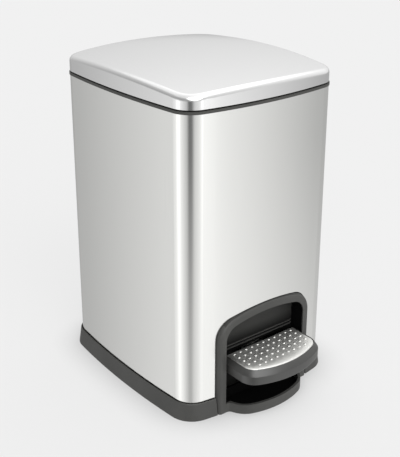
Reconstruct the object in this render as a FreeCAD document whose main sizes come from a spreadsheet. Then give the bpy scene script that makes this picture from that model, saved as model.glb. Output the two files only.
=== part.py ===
import FreeCAD, Part
import math
import operator
import os
import types

import Sketcher

# Rectangular pedal bin with bowed steel walls, a domed lid and a lift-out bucket.
# Front is -Y, up is +Z. Pieces are drawn about the centre of the shell, and each Placement
# then moves them so that the origin lies under the middle of the whole bin.

# Driving dimensions in millimetres
driving = {
    # shell
    "shell_width": 219,
    "shell_depth": 250.5,
    "shell_top": 350.5,
    "shell_wall": 0.6,
    "front_bow_radius": 500,
    "side_bow_radius": 960,
    "corner_radius": 25,
    # base tray
    "base_height": 20.3,
    "base_flare": 5,
    "base_lip": 2.2,
    "skirt_gap": 0.9,
    "foot_ring": 5,
    "base_chamfer": 0.7,
    "floor_rise": 5,
    "floor_thickness": 3,
    # rim on top of the shell
    "rim_band": 3,
    "rim_proud": 0.8,
    "rim_width": 3,
    "rim_fit": 0.3,
    "rim_skirt": 14,
    "skirt_wall": 1.8,
    "deck_drop": 2,
    "deck_thickness": 2.5,
    "notch_width": 27,
    # lid
    "lid_gap": 1.5,
    "lid_rise": 31.1,
    "dome_radius": 990,
    "dome_setback": 9,
    "lid_edge_fillet": 6.5,
    "lid_wall": 0.8,
    "liner_fit": 0.3,
    "liner_rise": 1.5,
    "liner_wall": 2,
    "liner_step": 14,
    "lid_notch_clearance": 1.2,
    "buffer_radius": 1.5,
    "buffer_gap": 0.3,
    "buffer_spread": 120,
    # lid hinge
    "hinge_setback": 8.5,
    "hinge_rise": 8,
    "hinge_width": 64,
    "lug_width": 10,
    "lug_radius": 6.8,
    "lug_side_gap": 0.4,
    "block_height": 38,
    "block_seat_gap": 0.1,
    "block_neck": 9.5,
    "block_slope": 9,
    "block_edge_fillet": 2,
    "knuckle_radius": 6,
    "knuckle_room": 2,
    "hinge_pin_radius": 2.5,
    "hinge_pin_end": 1,
    # arm and crank under the lid
    "arm_reach": 52,
    "arm_thickness": 4,
    "crank_reach": 15.9,
    "crank_drop": 12.2,
    "crank_lug_radius": 4,
    "crank_lug_width": 4,
    "crank_pin_radius": 2,
    "crank_side_gap": 0.7,
    # push rod
    "rod_offset": 18,
    "rod_radius": 2.5,
    "head_width": 12.4,
    "head_depth": 12.4,
    "head_height": 13,
    "slot_length": 9.2,
    "slot_height": 5.2,
    "rod_grip": 3,
    "shoe_radius": 7,
    "shoe_height": 9,
    "shoe_gap": 0.3,
    # rod guide
    "guide_height": 60,
    "guide_bridge": 6,
    "guide_depth": 13,
    "guide_leg": 4,
    "guide_foot": 11,
    "guide_foot_thickness": 3,
    "guide_clearance": 2,
    # lever and axle
    "tail_reach": 114,
    "tail_overhang": 6.5,
    "axle_height": 20,
    "axle_radius": 3,
    "lever_width": 24,
    "lever_sheet": 2,
    "lever_rise": 7,
    "ear_drop": 7.5,
    "tail_flange": 8,
    "ear_length": 24,
    "bend_reach": 20,
    "tongue_flange": 6,
    "post_width": 7,
    "post_length": 16,
    "post_cap": 7,
    "bush_wall": 1.5,
    "bush_flange": 2,
    "bush_flange_thickness": 0.8,
    "bush_length": 2.5,
    "axle_end": 2.2,
    "clip_thickness": 1,
    "clip_width": 2.5,
    # pedal
    "pedal_width": 111,
    "pedal_setback": 11,
    "pedal_reach": 175,
    "pedal_corner": 20,
    "pedal_bow": 106,
    "pedal_low": 50,
    "pedal_high": 67,
    "pedal_edge_fillet": 3.5,
    "pedal_wall": 2.5,
    "pedal_top_thickness": 3.8,
    "pad_margin": 5.3,
    "pad_back_margin": 4,
    "pad_recess": 1.2,
    "pad_thickness": 1.7,
    "pad_gap": 0.3,
    "pad_edge_fillet": 0.6,
    "pedal_boss_radius": 5,
    "pedal_boss_height": 4,
    "pedal_screw_spacing": 24,
    # arched surround of the pedal
    "pedal_side_gap": 2.3,
    "surround_crown": 120.5,
    "surround_corner": 27,
    "surround_bow": 212,
    "surround_band": 9.6,
    "surround_proud": 2,
    "surround_depth": 9.5,
    "surround_wall": 2.5,
    "surround_gap": 0.8,
    "surround_edge_fillet": 4.5,
    "recess_depth": 19.5,
    "slot_margin": 12,
    "slot_low": 14,
    "slot_high": 62,
    "rib_height": 1.5,
    "rib_spacing": 4,
    "rib_depth": 1.2,
    "rib_margin": 3,
    "lip_proud": 25.5,
    "lip_margin": 4.6,
    "lip_corner": 28,
    "lip_bow": 105,
    "lip_height": 11.5,
    "lip_wall": 3,
    "lip_floor": 2,
    "lip_cove": 6,
    "tab_width": 12,
    "tab_length": 14,
    "tab_thickness": 3,
    # bucket
    "bucket_side_margin": 18,
    "bucket_front_margin": 26,
    "bucket_rear_margin": 28,
    "bucket_floor_height": 72,
    "bucket_draft": 7,
    "bucket_wall": 1.8,
    "bucket_corner": 24,
    "bucket_flange": 7,
    "bucket_flange_thickness": 2,
    "bucket_clearance": 2.5,
    "bail_drop": 10.5,
    "bail_radius": 1.75,
    "bail_inset": 5,
    "bail_front_inset": 14,
    "bail_corner": 14,
    "bail_stub_corner": 4,
    "bail_stub": 1.2,
    "bail_hole_gap": 0.1,
    "grip_radius": 4.5,
    "grip_length": 72,
    # fits and fasteners
    "running_fit": 0.06,
    "set_fit": 0.03,
    "screw_radius": 1.6,
    "screw_head_radius": 3.4,
    "screw_head_height": 2.2,
    "screw_hole_gap": 0.15,
    "screw_bite": 5.5,
    "boss_radius": 4,
    "boss_height": 5,
    "arm_screw_spacing_x": 28,
    "arm_screw_spacing_y": 13,
    "arm_screw_margin": 8,
    "hinge_screw_spacing": 44,
    "hinge_screw_drop": 22,
    # every cut runs on past its piece by this much
    "overrun": 40,
}

doc = FreeCAD.newDocument("PedalBin")
sheet = doc.addObject("Spreadsheet::Sheet", "Sizes")
for row, (alias, number) in enumerate(driving.items(), start=1):
    sheet.set("A%d" % row, alias)
    sheet.set("B%d" % row, str(number))
    sheet.setAlias("B%d" % row, alias)
doc.recompute()


class Size:
    # A number that also carries the sheet expression which gives it.
    def __init__(self, text, value):
        self.text = text
        self.value = value

    def __float__(self):
        return float(self.value)

    def __add__(self, other):
        return joined(self, "+", other)

    def __sub__(self, other):
        return joined(self, "-", other)

    def __mul__(self, other):
        return joined(self, "*", other)

    def __truediv__(self, other):
        return joined(self, "/", other)

    def __neg__(self):
        return Size("(-" + self.text + ")", -self.value)


signs = {"+": operator.add, "-": operator.sub, "*": operator.mul, "/": operator.truediv}


def joined(left, sign, right):
    if not isinstance(right, Size):
        right = Size(str(right), right)
    value = signs[sign](left.value, right.value)
    return Size("(%s %s %s)" % (left.text, sign, right.text), value)


def root(size):
    return Size("sqrt(%s)" % size.text, math.sqrt(size.value))


nothing = Size("0", 0.0)
hair = 1e-3  # edges closer to a plane than this lie on it
s = types.SimpleNamespace(**{alias: Size("Sizes." + alias, float(sheet.get(alias))) for alias in driving})

# Places that several pieces share
half_width = s.shell_width / 2
half_depth = s.shell_depth / 2
floor_top = s.floor_rise + s.floor_thickness
deck_top = s.shell_top - s.deck_drop
rim_top = s.shell_top + s.rim_band
rim_inside = s.shell_wall + s.rim_fit
lid_foot = rim_top + s.lid_gap
hinge_y = half_depth + s.hinge_setback
hinge_z = s.shell_top + s.hinge_rise
panel_low = hinge_z + s.arm_thickness
crank_y = hinge_y - s.crank_reach
crank_z = hinge_z - s.crank_drop
rod_y = hinge_y - s.rod_offset
axle_y = rod_y - s.tail_reach
lever_top = s.axle_height + s.lever_rise
tongue_top = s.pedal_high - s.pad_recess - s.pedal_top_thickness - s.pedal_boss_height
pedal_half = s.pedal_width / 2
pedal_back = half_depth - s.pedal_setback
opening_half = pedal_half + s.pedal_side_gap
surround_half = opening_half + s.surround_band
slot_half = opening_half - s.slot_margin
lip_half = opening_half - s.lip_margin
surround_front = half_depth + s.surround_proud
lip_reach = surround_front + s.lip_proud
recess_back = surround_front - s.recess_depth
surround_back = recess_back - s.surround_wall
bucket_half = half_width - s.bucket_side_margin
bucket_front = half_depth - s.bucket_front_margin
bucket_rear = half_depth - s.bucket_rear_margin
bucket_middle = (bucket_rear - bucket_front) / 2
bail_z = deck_top - s.bail_drop
pedal_screw_middle = (s.pedal_reach + pedal_back) / 2
hinge_reach = hinge_y + s.lug_radius
origin_shift = (s.pedal_reach - hinge_reach) / 2

sub_parts = []


# Sketching

def new_body(label):
    body = doc.addObject("PartDesign::Body", label)
    body.AllowCompound = True
    return body


def new_sketch(body, name, role, offset=nothing):
    # A sketch on one of the body's origin planes, moved along that plane's normal.
    sketch = body.newObject("Sketcher::SketchObject", body.Name + "_" + name)
    plane = next(feature for feature in body.Origin.OriginFeatures if feature.Role == role)
    sketch.AttachmentSupport = [(plane, "")]
    sketch.MapMode = "FlatFace"
    sketch.setExpression("AttachmentOffset.Base.z", offset.text)
    return sketch


def dimension(sketch, kind, places, size):
    index = sketch.addConstraint(Sketcher.Constraint(kind, *places, float(size)))
    sketch.setExpression("Constraints[%d]" % index, size.text)


def pin_point(sketch, edge, end, across, up):
    # Holds one point at its two distances from the sketch origin.
    for kind, axis, size in (("DistanceX", -2, across), ("DistanceY", -1, up)):
        if float(size) == 0:
            sketch.addConstraint(Sketcher.Constraint("PointOnObject", edge, end, axis))
        else:
            dimension(sketch, kind, (-1, 1, edge, end), size)


def flat(across, up):
    return FreeCAD.Vector(float(across), float(up), 0)


def add_line(sketch, start, end):
    return sketch.addGeometry(Part.LineSegment(flat(*start), flat(*end)), False)


def add_arc(sketch, centre, start, end):
    # The shorter arc about a centre from start to end.
    middle = (flat(*start) + flat(*end)) / 2 - flat(*centre)
    reach = (flat(*start) - flat(*centre)).Length
    crest = flat(*centre) + middle.normalize() * reach
    return sketch.addGeometry(Part.Arc(flat(*start), crest, flat(*end)), False)


def join_ends(sketch, first, second, kind):
    # Joins the two ends that meet, either smoothly or at a corner.
    pairs = [(a, b) for a in (1, 2) for b in (1, 2)]
    gaps = [(sketch.getPoint(first, a) - sketch.getPoint(second, b)).Length for a, b in pairs]
    near = pairs[gaps.index(min(gaps))]
    sketch.addConstraint(Sketcher.Constraint(kind, first, near[0], second, near[1]))


def polygon(sketch, points):
    count = len(points)
    edges = [add_line(sketch, points[i], points[(i + 1) % count]) for i in range(count)]
    for i in range(count):
        sketch.addConstraint(Sketcher.Constraint("Coincident", edges[i], 2, edges[(i + 1) % count], 1))
        pin_point(sketch, edges[i], 1, *points[i])


def rectangle(sketch, left, right, low, high):
    polygon(sketch, [(left, low), (right, low), (right, high), (left, high)])


def circles(sketch, centres, radius):
    for across, up in centres:
        circle = Part.Circle(flat(across, up), FreeCAD.Vector(0, 0, 1), float(radius))
        edge = sketch.addGeometry(circle, False)
        dimension(sketch, "Radius", (edge,), radius)
        pin_point(sketch, edge, 3, across, up)


def rounded_rectangle(sketch, left, right, low, high, radius):
    corners = [(left, low), (right, low), (right, high), (left, high)]
    inward = [(1, 1), (-1, 1), (-1, -1), (1, -1)]
    along = [(1, 0), (0, 1), (-1, 0), (0, -1)]
    edges = []
    for i in range(4):
        after = (i + 1) % 4
        start = [corners[i][k] + radius * along[i][k] for k in (0, 1)]
        end = [corners[after][k] - radius * along[i][k] for k in (0, 1)]
        turn = [corners[after][k] + radius * inward[after][k] for k in (0, 1)]
        leave = [corners[after][k] + radius * along[after][k] for k in (0, 1)]
        edges.append(add_line(sketch, start, end))
        edges.append(add_arc(sketch, turn, end, leave))
    for i in range(8):
        join_ends(sketch, edges[i], edges[(i + 1) % 8], "Tangent")
    for edge, kind, size in zip(edges[0::2], ("DistanceY", "DistanceX") * 2, (low, right, high, left)):
        straight = "Horizontal" if kind == "DistanceY" else "Vertical"
        sketch.addConstraint(Sketcher.Constraint(straight, edge))
        dimension(sketch, kind, (-1, 1, edge, 1), size)
    for edge in edges[1::2]:
        dimension(sketch, "Radius", (edge,), radius)


def d_outline(sketch, half, base, crown, corner, bow):
    # A straight base and straight sides that turn through two corners into one bowed crown.
    w, r, big = float(half), float(corner), float(bow)
    way = 1 if float(crown) > float(base) else -1
    bow_up = float(crown) - way * big
    corner_up = bow_up + way * math.sqrt((big - r) ** 2 - (w - r) ** 2)
    grow_share = big / (big - r)
    turn = ((w - r) * grow_share, bow_up + (corner_up - bow_up) * grow_share)
    base_up = float(base)
    edges = [
        add_line(sketch, (-w, base_up), (w, base_up)),
        add_line(sketch, (w, base_up), (w, corner_up)),
        add_arc(sketch, (w - r, corner_up), (w, corner_up), turn),
        add_arc(sketch, (0, bow_up), turn, (-turn[0], turn[1])),
        add_arc(sketch, (r - w, corner_up), (-turn[0], turn[1]), (-w, corner_up)),
        add_line(sketch, (-w, corner_up), (-w, base_up)),
    ]
    for i, kind in enumerate(("Coincident", "Tangent", "Tangent", "Tangent", "Tangent", "Coincident")):
        join_ends(sketch, edges[i], edges[(i + 1) % 6], kind)
    sketch.addConstraint(Sketcher.Constraint("Horizontal", edges[0]))
    for edge, size in ((edges[1], half), (edges[5], -half)):
        sketch.addConstraint(Sketcher.Constraint("Vertical", edge))
        dimension(sketch, "DistanceX", (-1, 1, edge, 1), size)
    for edge in (edges[2], edges[4]):
        dimension(sketch, "Radius", (edge,), corner)
    dimension(sketch, "Radius", (edges[3],), bow)
    pin_point(sketch, edges[3], 3, nothing, crown - bow * way)
    if base_up == 0:
        sketch.addConstraint(Sketcher.Constraint("PointOnObject", edges[0], 1, -1))
    else:
        dimension(sketch, "DistanceY", (-1, 1, edges[0], 1), base)


def bowed_outline(sketch, offset):
    # The plan of the bin: four bowed sides and four round corners, all moved out by offset.
    front, side = float(s.front_bow_radius), float(s.side_bow_radius)
    corner, out = float(s.corner_radius), float(offset)
    front_centre = flat(0, front - float(half_depth))
    side_centre = flat(float(half_width) - side, 0)
    # corner centre: where circles about the two bow centres cross, in front on the right
    span = side_centre - front_centre
    long, short = front - corner, side - corner
    along = (long ** 2 - short ** 2 + span.Length ** 2) / (2 * span.Length)
    aside = math.sqrt(long ** 2 - along ** 2)
    unit = FreeCAD.Vector(span).normalize()
    turned = flat(-unit.y, unit.x)
    crossings = [front_centre + unit * along + turned * aside, front_centre + unit * along - turned * aside]
    turn = next(point for point in crossings if point.x > 0 > point.y)
    on_front = front_centre + (turn - front_centre).normalize() * (front + out)
    on_side = side_centre + (turn - side_centre).normalize() * (side + out)
    mirrors = [(1, 1), (1, -1), (-1, -1), (-1, 1)]
    front_points = [(on_front.x * m, on_front.y * n) for m, n in mirrors]
    side_points = [(on_side.x * m, on_side.y * n) for m, n in mirrors]
    turns = [(turn.x * m, turn.y * n) for m, n in mirrors]
    edges = []
    for i in range(4):
        after = (i + 1) % 4
        sideways = i % 2 == 0
        centre = (side_centre.x * mirrors[i][0], 0) if sideways else (0, front_centre.y * mirrors[i][1])
        ends = side_points if sideways else front_points
        others = front_points if sideways else side_points
        edges.append(add_arc(sketch, centre, ends[i], ends[after]))
        edges.append(add_arc(sketch, turns[after], ends[after], others[after]))
    for i in range(8):
        join_ends(sketch, edges[i], edges[(i + 1) % 8], "Tangent")
    for i in range(4):
        sideways = i % 2 == 0
        bow = s.side_bow_radius if sideways else s.front_bow_radius
        dimension(sketch, "Radius", (edges[2 * i],), bow + offset)
        dimension(sketch, "Radius", (edges[2 * i + 1],), s.corner_radius + offset)
        if sideways:
            pin_point(sketch, edges[2 * i], 3, (half_width - bow) * mirrors[i][0], nothing)
        else:
            pin_point(sketch, edges[2 * i], 3, nothing, (bow - half_depth) * mirrors[i][1])


# Features

def pad(body, sketch, length, reverse=False, both_ways=False):
    feature = body.newObject("PartDesign::Pad", sketch.Name + "_pad")
    feature.Profile = sketch
    feature.setExpression("Length", length.text)
    feature.Reversed = reverse
    feature.Midplane = both_ways
    doc.recompute()
    return feature


def pocket(body, sketch, length, reverse=False, both_ways=False):
    before = body.Shape.Volume
    feature = body.newObject("PartDesign::Pocket", sketch.Name + "_pocket")
    feature.Profile = sketch
    feature.setExpression("Length", length.text)
    feature.Reversed = reverse
    feature.Midplane = both_ways
    doc.recompute()
    if body.Shape.Volume >= before:
        raise RuntimeError(sketch.Name + " cuts nothing")
    return feature


def loft(body, kind, first, last):
    feature = body.newObject("PartDesign::" + kind, first.Name + "_loft")
    feature.Profile = first
    feature.Sections = [last]
    feature.Ruled = True
    doc.recompute()
    return feature


def fillet(body, feature, radius, chosen):
    # Rounds every edge of the feature that the test picks out.
    names = ["Edge%d" % (i + 1) for i, edge in enumerate(feature.Shape.Edges) if chosen(edge)]
    rounding = body.newObject("PartDesign::Fillet", feature.Name + "_fillet")
    rounding.Base = (feature, names)
    rounding.setExpression("Radius", radius.text)
    doc.recompute()
    return rounding


def finish(piece, label):
    piece.Label = label
    piece.setExpression("Placement.Base.y", origin_shift.text)
    sub_parts.append(piece)


def outline_pad(body, name, low, length, *offsets):
    # One outline gives a plate, two give a ring.
    sketch = new_sketch(body, name, "XY_Plane", low)
    for offset in offsets:
        bowed_outline(sketch, offset)
    return pad(body, sketch, length)


def screws(label, role, offset, centres, shank, reverse=False):
    # Pan-head screws: heads start at the offset plane, shanks go on beyond them.
    body = new_body(label)
    heads = new_sketch(body, "heads", role, offset)
    circles(heads, centres, s.screw_head_radius)
    pad(body, heads, s.screw_head_height, reverse)
    shanks = new_sketch(body, "shanks", role, offset)
    circles(shanks, centres, s.screw_radius)
    pad(body, shanks, s.screw_head_height + shank, reverse)
    finish(body, label)


screw_hole = s.screw_radius + s.screw_hole_gap


def rear_inside(across):
    # Inner face of the shell's rear wall at a distance from the middle.
    bow = s.front_bow_radius
    return half_depth - bow + root(bow * bow - across * across) - s.shell_wall


# Pieces that stand still

def outer_shell():
    body = new_body("outer_shell")
    outline_pad(body, "wall", floor_top, s.shell_top - floor_top, nothing, -s.shell_wall)
    arch = new_sketch(body, "arch", "XZ_Plane")
    gap = s.surround_gap
    d_outline(arch, surround_half + gap, -s.overrun, s.surround_crown + gap, s.surround_corner + gap,
              s.surround_bow + gap)
    pocket(body, arch, half_depth + s.overrun, reverse=True)
    holes = new_sketch(body, "screw_holes", "XZ_Plane")
    circles(holes, hinge_screw_centres(), screw_hole)
    pocket(body, holes, half_depth + s.overrun)
    finish(body, "outer_shell")


def base_tray():
    body = new_body("base_tray")
    foot = new_sketch(body, "foot", "XY_Plane")
    bowed_outline(foot, s.base_flare)
    edge = new_sketch(body, "edge", "XY_Plane", s.base_height - s.base_chamfer)
    bowed_outline(edge, s.base_lip)
    loft(body, "AdditiveLoft", foot, edge)
    brow = new_sketch(body, "brow", "XY_Plane", s.base_height)
    bowed_outline(brow, s.base_lip - s.base_chamfer)
    loft(body, "AdditiveLoft", edge, brow)
    inside = new_sketch(body, "inside", "XY_Plane", s.base_height)
    bowed_outline(inside, s.skirt_gap)
    pocket(body, inside, s.base_height - floor_top)
    under = new_sketch(body, "under", "XY_Plane")
    bowed_outline(under, -s.foot_ring)
    pocket(body, under, s.floor_rise, reverse=True)
    front = new_sketch(body, "front", "XY_Plane")
    wide = surround_half + s.surround_gap
    narrow = wide - s.surround_band + s.surround_wall
    outside = -(half_depth + s.overrun)
    step = s.surround_depth + s.surround_gap - surround_front
    rear = s.surround_gap - surround_back
    polygon(front, [(-wide, outside), (wide, outside), (wide, step), (narrow, step), (narrow, rear),
                    (-narrow, rear), (-narrow, step), (-wide, step)])
    pocket(body, front, s.base_height + s.overrun, reverse=True)
    posts = new_sketch(body, "posts", "XY_Plane", floor_top)
    inner = s.lever_width / 2 + s.bush_flange_thickness + s.lug_side_gap
    outer = inner + s.post_width
    for left, right in ((inner, outer), (-outer, -inner)):
        rectangle(posts, left, right, axle_y - s.post_length / 2, axle_y + s.post_length / 2)
    pad(body, posts, s.axle_height + s.post_cap - floor_top)
    axle = new_sketch(body, "axle", "YZ_Plane")
    circles(axle, [(axle_y, s.axle_height)], s.axle_radius + s.set_fit)
    pocket(body, axle, s.shell_width, both_ways=True)
    holes = new_sketch(body, "screw_holes", "XY_Plane", floor_top)
    circles(holes, guide_screw_centres() + tab_screw_centres(), screw_hole)
    pocket(body, holes, s.floor_thickness)
    finish(body, "base_tray")


def top_rim():
    body = new_body("top_rim")
    band_inside = rim_inside + s.rim_width
    outline_pad(body, "band", s.shell_top, s.rim_band, s.rim_proud, -band_inside)
    skirt_low = s.shell_top - s.rim_skirt
    outline_pad(body, "skirt", skirt_low, s.rim_skirt, -rim_inside, -(rim_inside + s.skirt_wall))
    deck = new_sketch(body, "deck", "XY_Plane", deck_top - s.deck_thickness)
    bowed_outline(deck, -rim_inside)
    room = s.bucket_clearance
    rounded_rectangle(deck, -(bucket_half + room), bucket_half + room, -(bucket_front + room),
                      bucket_rear + room, s.bucket_corner + room)
    pad(body, deck, s.deck_thickness)
    notch = new_sketch(body, "rod_notch", "XY_Plane", skirt_low)
    notch_rear = half_depth - rim_inside - s.skirt_wall / 2
    notch_front = rod_y - s.head_depth / 2 - s.bucket_clearance
    rectangle(notch, -s.notch_width / 2, s.notch_width / 2, notch_front, notch_rear)
    pocket(body, notch, s.rim_skirt + s.overrun, reverse=True)
    finish(body, "top_rim")


def surround_outline(sketch, inset, base):
    d_outline(sketch, surround_half - inset, base, s.surround_crown - inset, s.surround_corner - inset,
              s.surround_bow - inset)


def pedal_surround():
    body = new_body("pedal_surround")
    band = new_sketch(body, "band", "XZ_Plane", surround_front)
    surround_outline(band, nothing, nothing)
    face = pad(body, band, s.surround_depth, reverse=True)
    front_edge = -float(surround_front)
    fillet(body, face, s.surround_edge_fillet,
           lambda edge: edge.BoundBox.YMax < front_edge + hair and edge.BoundBox.ZMax > float(s.lip_height))
    walls = new_sketch(body, "walls", "XZ_Plane", surround_front - s.surround_depth)
    surround_outline(walls, s.surround_band - s.surround_wall, nothing)
    pad(body, walls, surround_front - s.surround_depth - surround_back, reverse=True)
    opening = new_sketch(body, "opening", "XZ_Plane", surround_front)
    surround_outline(opening, s.surround_band, s.lip_height)
    pocket(body, opening, s.recess_depth)
    slot = new_sketch(body, "slot", "XZ_Plane", recess_back)
    rectangle(slot, -slot_half, slot_half, s.slot_low, s.slot_high)
    pocket(body, slot, s.surround_wall)
    ribs = new_sketch(body, "ribs", "XZ_Plane", recess_back)
    rib_half = opening_half - s.rib_margin
    for low in (s.slot_high + s.rib_spacing, s.slot_high + s.rib_spacing * 2):
        rectangle(ribs, -rib_half, rib_half, low, low + s.rib_height)
    pad(body, ribs, s.rib_depth)
    lip = new_sketch(body, "lip", "XY_Plane")
    d_outline(lip, lip_half, -recess_back, -lip_reach, s.lip_corner, s.lip_bow)
    wall = pad(body, lip, s.lip_height)
    lip_top = float(s.lip_height)
    fillet(body, wall, s.lip_cove,
           lambda edge: abs(edge.BoundBox.YMin - front_edge) < hair and edge.BoundBox.YLength < hair
           and edge.BoundBox.XLength < hair and edge.BoundBox.ZMax < lip_top + hair)
    hollow = new_sketch(body, "lip_hollow", "XY_Plane", s.lip_height)
    d_outline(hollow, lip_half - s.lip_wall, -recess_back, s.lip_wall - lip_reach,
              s.lip_corner - s.lip_wall, s.lip_bow - s.lip_wall)
    pocket(body, hollow, s.lip_height - s.lip_floor)
    tabs = new_sketch(body, "tabs", "XY_Plane", floor_top)
    for across, along in tab_screw_centres():
        rectangle(tabs, across - s.tab_width / 2, across + s.tab_width / 2, along - s.tab_length / 2,
                  along + s.tab_length / 2)
    pad(body, tabs, s.tab_thickness)
    holes = new_sketch(body, "tab_holes", "XY_Plane", floor_top)
    circles(holes, tab_screw_centres(), screw_hole)
    pocket(body, holes, s.tab_thickness, reverse=True)
    finish(body, "pedal_surround")


def tab_screw_centres():
    across = slot_half + s.tab_width / 2
    return [(across * way, s.tab_length / 2 - surround_back) for way in (-1, 1)]


def bucket_outline(sketch, inset):
    rounded_rectangle(sketch, inset - bucket_half, bucket_half - inset, inset - bucket_front,
                      bucket_rear - inset, s.bucket_corner - inset)


def inner_bucket():
    body = new_body("inner_bucket")
    top = deck_top + s.bucket_flange_thickness
    bottom = new_sketch(body, "bottom", "XY_Plane", s.bucket_floor_height)
    bucket_outline(bottom, s.bucket_draft)
    mouth = new_sketch(body, "mouth", "XY_Plane", top)
    bucket_outline(mouth, nothing)
    loft(body, "AdditiveLoft", bottom, mouth)
    flange = new_sketch(body, "flange", "XY_Plane", deck_top)
    bucket_outline(flange, -s.bucket_flange)
    pad(body, flange, s.bucket_flange_thickness)
    inner_bottom = new_sketch(body, "inner_bottom", "XY_Plane", s.bucket_floor_height + s.bucket_wall)
    bucket_outline(inner_bottom, s.bucket_draft + s.bucket_wall)
    inner_mouth = new_sketch(body, "inner_mouth", "XY_Plane", top)
    bucket_outline(inner_mouth, s.bucket_wall)
    loft(body, "SubtractiveLoft", inner_bottom, inner_mouth)
    holes = new_sketch(body, "bail_holes", "YZ_Plane")
    circles(holes, [(bucket_middle, bail_z)], s.bail_radius + s.bail_hole_gap)
    pocket(body, holes, s.shell_width, both_ways=True)
    finish(body, "inner_bucket")


def hinge_screw_centres():
    height = s.shell_top - s.hinge_screw_drop
    return [(s.hinge_screw_spacing / 2 * way, height) for way in (-1, 1)]


def hinge_block():
    body = new_body("hinge_block")
    seat = half_depth + s.block_seat_gap
    low = s.shell_top - s.block_height + s.hinge_rise
    neck_z = hinge_z - s.block_neck
    lug_front = hinge_y - s.lug_radius
    profile = new_sketch(body, "profile", "YZ_Plane")
    polygon(profile, [(seat, low), (hinge_reach - s.block_slope, low), (hinge_reach, low + s.block_slope),
                      (hinge_reach, hinge_z), (lug_front, hinge_z), (lug_front, neck_z), (seat, neck_z)])
    block = pad(body, profile, s.hinge_width, both_ways=True)
    rear = float(hinge_reach - s.block_slope)
    fillet(body, block, s.block_edge_fillet,
           lambda edge: edge.BoundBox.YMin > rear - hair and edge.BoundBox.ZMax < float(hinge_z) - hair
           and edge.BoundBox.XLength > hair)
    lugs = new_sketch(body, "lugs", "YZ_Plane")
    circles(lugs, [(hinge_y, hinge_z)], s.lug_radius)
    pad(body, lugs, s.hinge_width, both_ways=True)
    gap = new_sketch(body, "gap", "YZ_Plane")
    gap_low = hinge_z - s.knuckle_radius - s.knuckle_room
    rectangle(gap, half_depth, hinge_reach + s.overrun, gap_low, hinge_z + s.overrun)
    pocket(body, gap, s.hinge_width - s.lug_width * 2, both_ways=True)
    bore = new_sketch(body, "bore", "YZ_Plane")
    circles(bore, [(hinge_y, hinge_z)], s.hinge_pin_radius + s.set_fit)
    pocket(body, bore, s.shell_width, both_ways=True)
    holes = new_sketch(body, "screw_holes", "XZ_Plane", -seat)
    circles(holes, hinge_screw_centres(), screw_hole)
    pocket(body, holes, s.screw_bite + s.shell_wall)
    finish(body, "hinge_block")


def hinge_pin():
    body = new_body("hinge_pin")
    section = new_sketch(body, "section", "YZ_Plane")
    circles(section, [(hinge_y, hinge_z)], s.hinge_pin_radius)
    pad(body, section, s.hinge_width + s.hinge_pin_end * 2, both_ways=True)
    finish(body, "hinge_pin")


def guide_screw_centres():
    leg = s.lever_width / 2 + s.guide_clearance + s.guide_leg
    return [((leg + s.guide_foot / 2) * way, rod_y) for way in (-1, 1)]


def rod_guide():
    body = new_body("rod_guide")
    inner = s.lever_width / 2 + s.guide_clearance
    outer = inner + s.guide_leg
    wide = outer + s.guide_foot
    gantry = new_sketch(body, "gantry", "XZ_Plane", -(rod_y + s.guide_depth / 2))
    bridge_low = floor_top + s.guide_height - s.guide_bridge
    foot_top = floor_top + s.guide_foot_thickness
    top = floor_top + s.guide_height
    polygon(gantry, [(-wide, floor_top), (-inner, floor_top), (-inner, bridge_low), (inner, bridge_low),
                     (inner, floor_top), (wide, floor_top), (wide, foot_top), (outer, foot_top), (outer, top),
                     (-outer, top), (-outer, foot_top), (-wide, foot_top)])
    pad(body, gantry, s.guide_depth)
    bore = new_sketch(body, "bore", "XY_Plane", top)
    circles(bore, [(nothing, rod_y)], s.rod_radius + s.running_fit)
    pocket(body, bore, s.guide_bridge)
    holes = new_sketch(body, "screw_holes", "XY_Plane", foot_top)
    circles(holes, guide_screw_centres(), screw_hole)
    pocket(body, holes, s.guide_foot_thickness)
    finish(body, "rod_guide")


post_outside = s.lever_width / 2 + s.bush_flange_thickness + s.lug_side_gap + s.post_width


def pedal_axle():
    body = new_body("pedal_axle")
    section = new_sketch(body, "section", "YZ_Plane")
    circles(section, [(axle_y, s.axle_height)], s.axle_radius)
    pad(body, section, (post_outside + s.axle_end) * 2, both_ways=True)
    finish(body, "pedal_axle")


def axle_clips():
    body = new_body("axle_clips")
    centre = [(axle_y, s.axle_height)]
    for name, side in (("right", post_outside), ("left", -(post_outside + s.clip_thickness))):
        ring = new_sketch(body, name, "YZ_Plane", side)
        circles(ring, centre, s.axle_radius + s.clip_width)
        circles(ring, centre, s.axle_radius + s.set_fit)
        pad(body, ring, s.clip_thickness)
    finish(body, "axle_clips")


# Lid

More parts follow.
